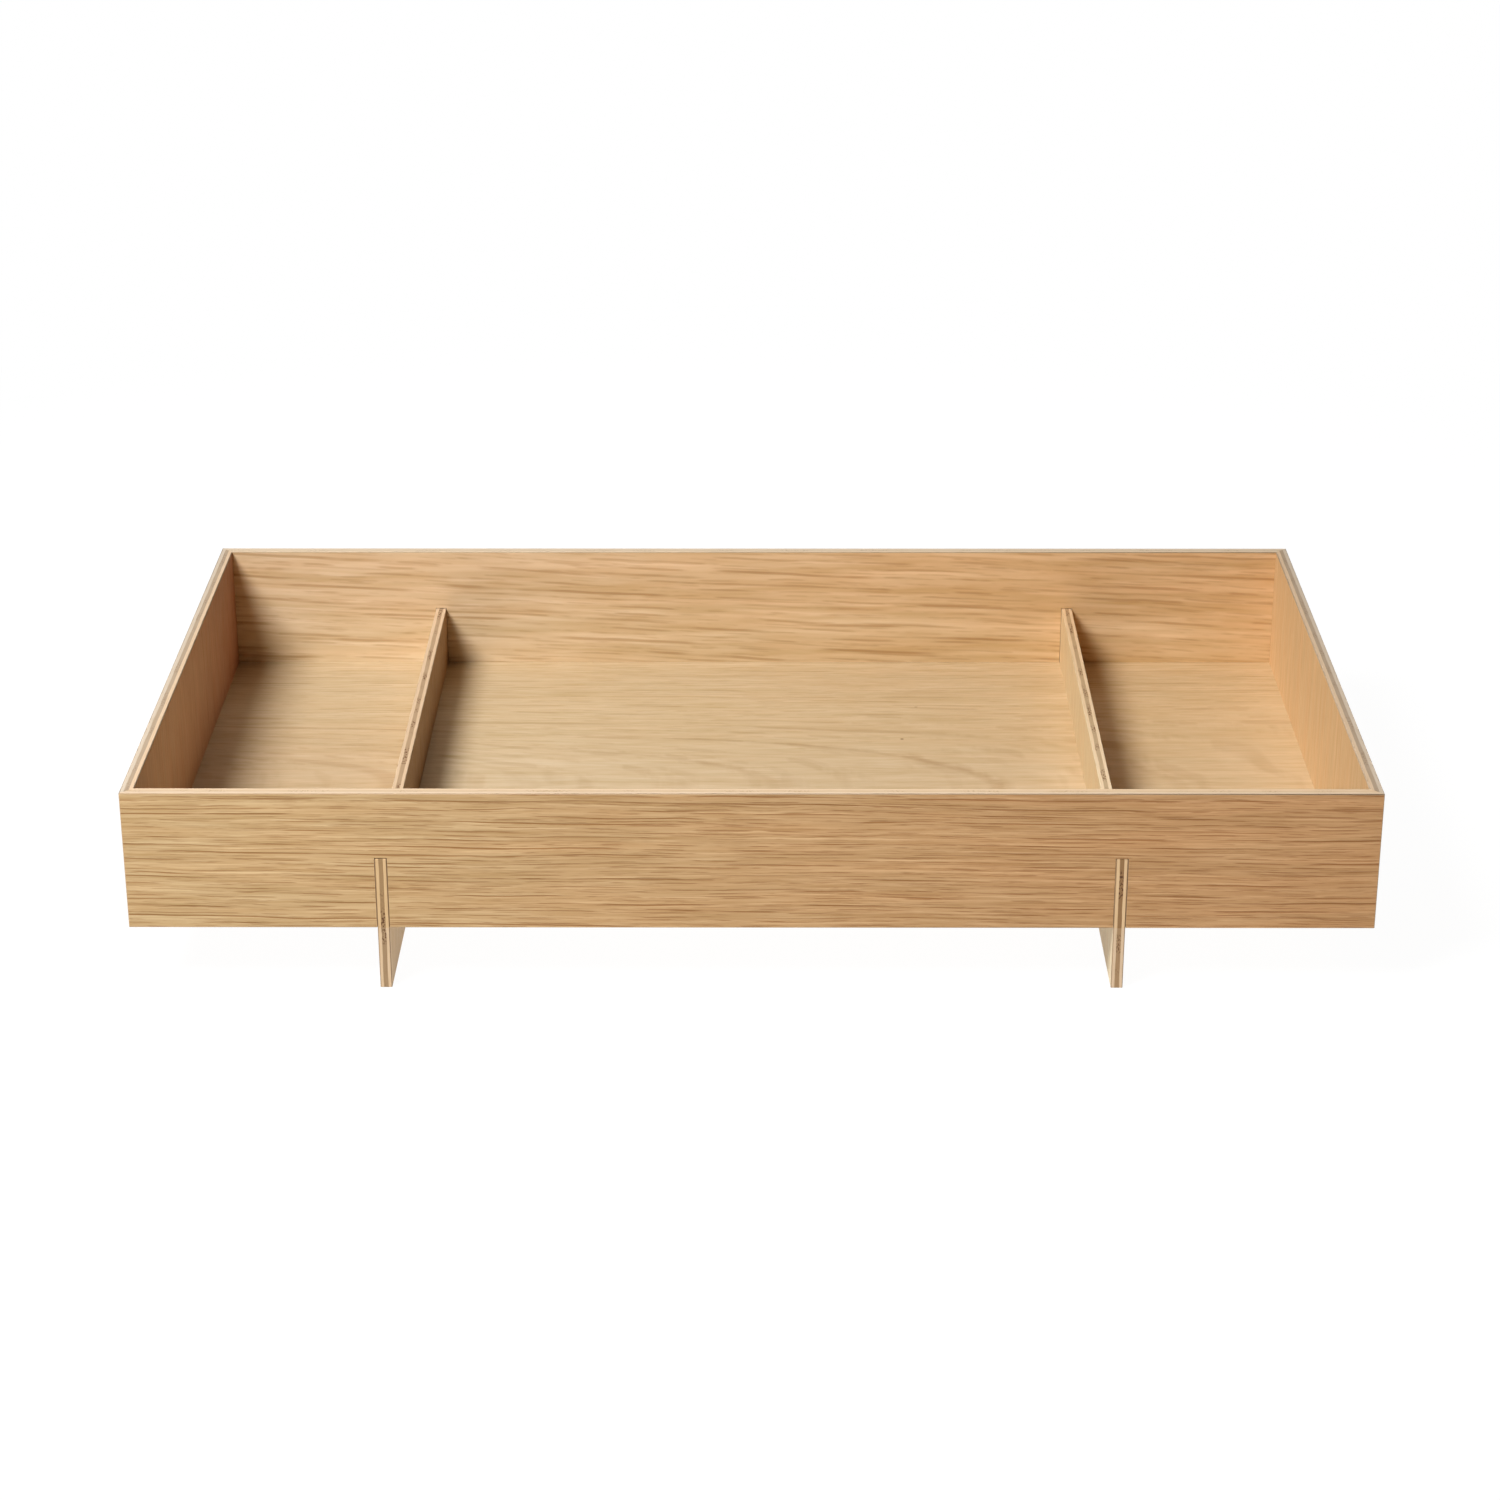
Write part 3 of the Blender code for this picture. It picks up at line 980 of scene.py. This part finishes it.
# %% Set the light
KEY_PLACE = Vector((-0.90, -0.85, 1.5))
BACK_PLACE = Vector((0.0, 1.2, 1.7))
COOL_LIGHT = (1.0, 1.04, 1.08)
WARM_LIGHT = (1.0, 0.86, 0.72)
LAMPS = {
    "key_lamp": (KEY_PLACE, 0.75, 46.0, COOL_LIGHT),
    "key_halo": (KEY_PLACE, 2.0, 8.0, WARM_LIGHT),
    "back_panel": (BACK_PLACE, 1.2, 6.5, WARM_LIGHT),
}
ROOM_FILL = (0.012, 0.0095, 0.007)
WHITE = (1.0, 1.0, 1.0)

for name, (place, size, power, tint) in LAMPS.items():
    lamp = bpy.data.lights.new(name, "AREA")
    lamp.shape = "DISK"
    lamp.size = size
    lamp.energy = power
    lamp.color = tint
    stand = bpy.data.objects.new(name, lamp)
    stand.location = place
    stand.rotation_euler = place.to_track_quat("Z", "Y").to_euler()
    bpy.context.scene.collection.objects.link(stand)

room = Recipe(bpy.data.worlds.new("white_room"))
bpy.context.scene.world = room.owner
seen = room.node("ShaderNodeLightPath", output="Is Camera Ray")
room.give("Background", {"Color": mix(room, seen, ROOM_FILL, WHITE)})
print("lamps:", ", ".join(LAMPS))

# %% [markdown]
# The table is a grey sheet with a glow of its own, as bright as a lit studio table looks, and so it
# lights the feet from below. The camera sees most of it replaced by plain white. The small share
# that is left keeps the tray's shadow, and it fades out well away from the tray, so that the table
# has no rim.

# %% Lay the table
TABLE_SIZE = 12.0
TABLE_GREY = (0.45, 0.45, 0.45)
TABLE_ROUGHNESS = 0.9
TABLE_GLOW = 0.75
PLAIN_WHITE_SHARE = 0.88
SHADOW_REACH = (450.0, 900.0)

bm = bmesh.new()
bmesh.ops.create_grid(bm, x_segments=1, y_segments=1, size=TABLE_SIZE / 2)
bmesh.ops.translate(bm, verts=bm.verts, vec=UP * -HAIRLINE)
table_mesh = bpy.data.meshes.new("table")
bm.to_mesh(table_mesh)
bm.free()
table = bpy.data.objects.new("table", table_mesh)
bpy.context.scene.collection.objects.link(table)

recipe = Recipe(bpy.data.materials.new("white_table"))
recipe.give("Principled BSDF", {
    "Base Color": TABLE_GREY,
    "Roughness": TABLE_ROUGHNESS,
    "Specular IOR Level": 0.0,
    "Emission Color": WHITE,
    "Emission Strength": TABLE_GLOW,
})
place = place_on_board(recipe)
away = ramp(recipe, flat_distance(recipe, place["X"], place["Y"]), *SHADOW_REACH)
share = PLAIN_WHITE_SHARE + away * (1 - PLAIN_WHITE_SHARE)
seen = recipe.node("ShaderNodeLightPath", output="Is Camera Ray")
sheet = Signal(recipe, recipe.tree.nodes["Principled BSDF"].outputs[0])
plain = recipe.node("ShaderNodeEmission", None, {"Color": WHITE, "Strength": 1.0})
shown = recipe.node("ShaderNodeMixShader", None, {0: seen * share, 1: sheet, 2: plain})
recipe.give("Material Output", {"Surface": shown})
table_mesh.materials.append(recipe.owner)
table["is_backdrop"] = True
print("table:", TABLE_SIZE, "m wide")

# %% [markdown]
# The dressed tray has to stay in the solid model's box, so the largest step between the two boxes
# is printed.

# %% Compare the boxes and finish
low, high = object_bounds()
largest_step = max((low - cad_low).length, (high - cad_high).length)
print("boxes differ by at most", round(largest_step / MM, 3), "mm")
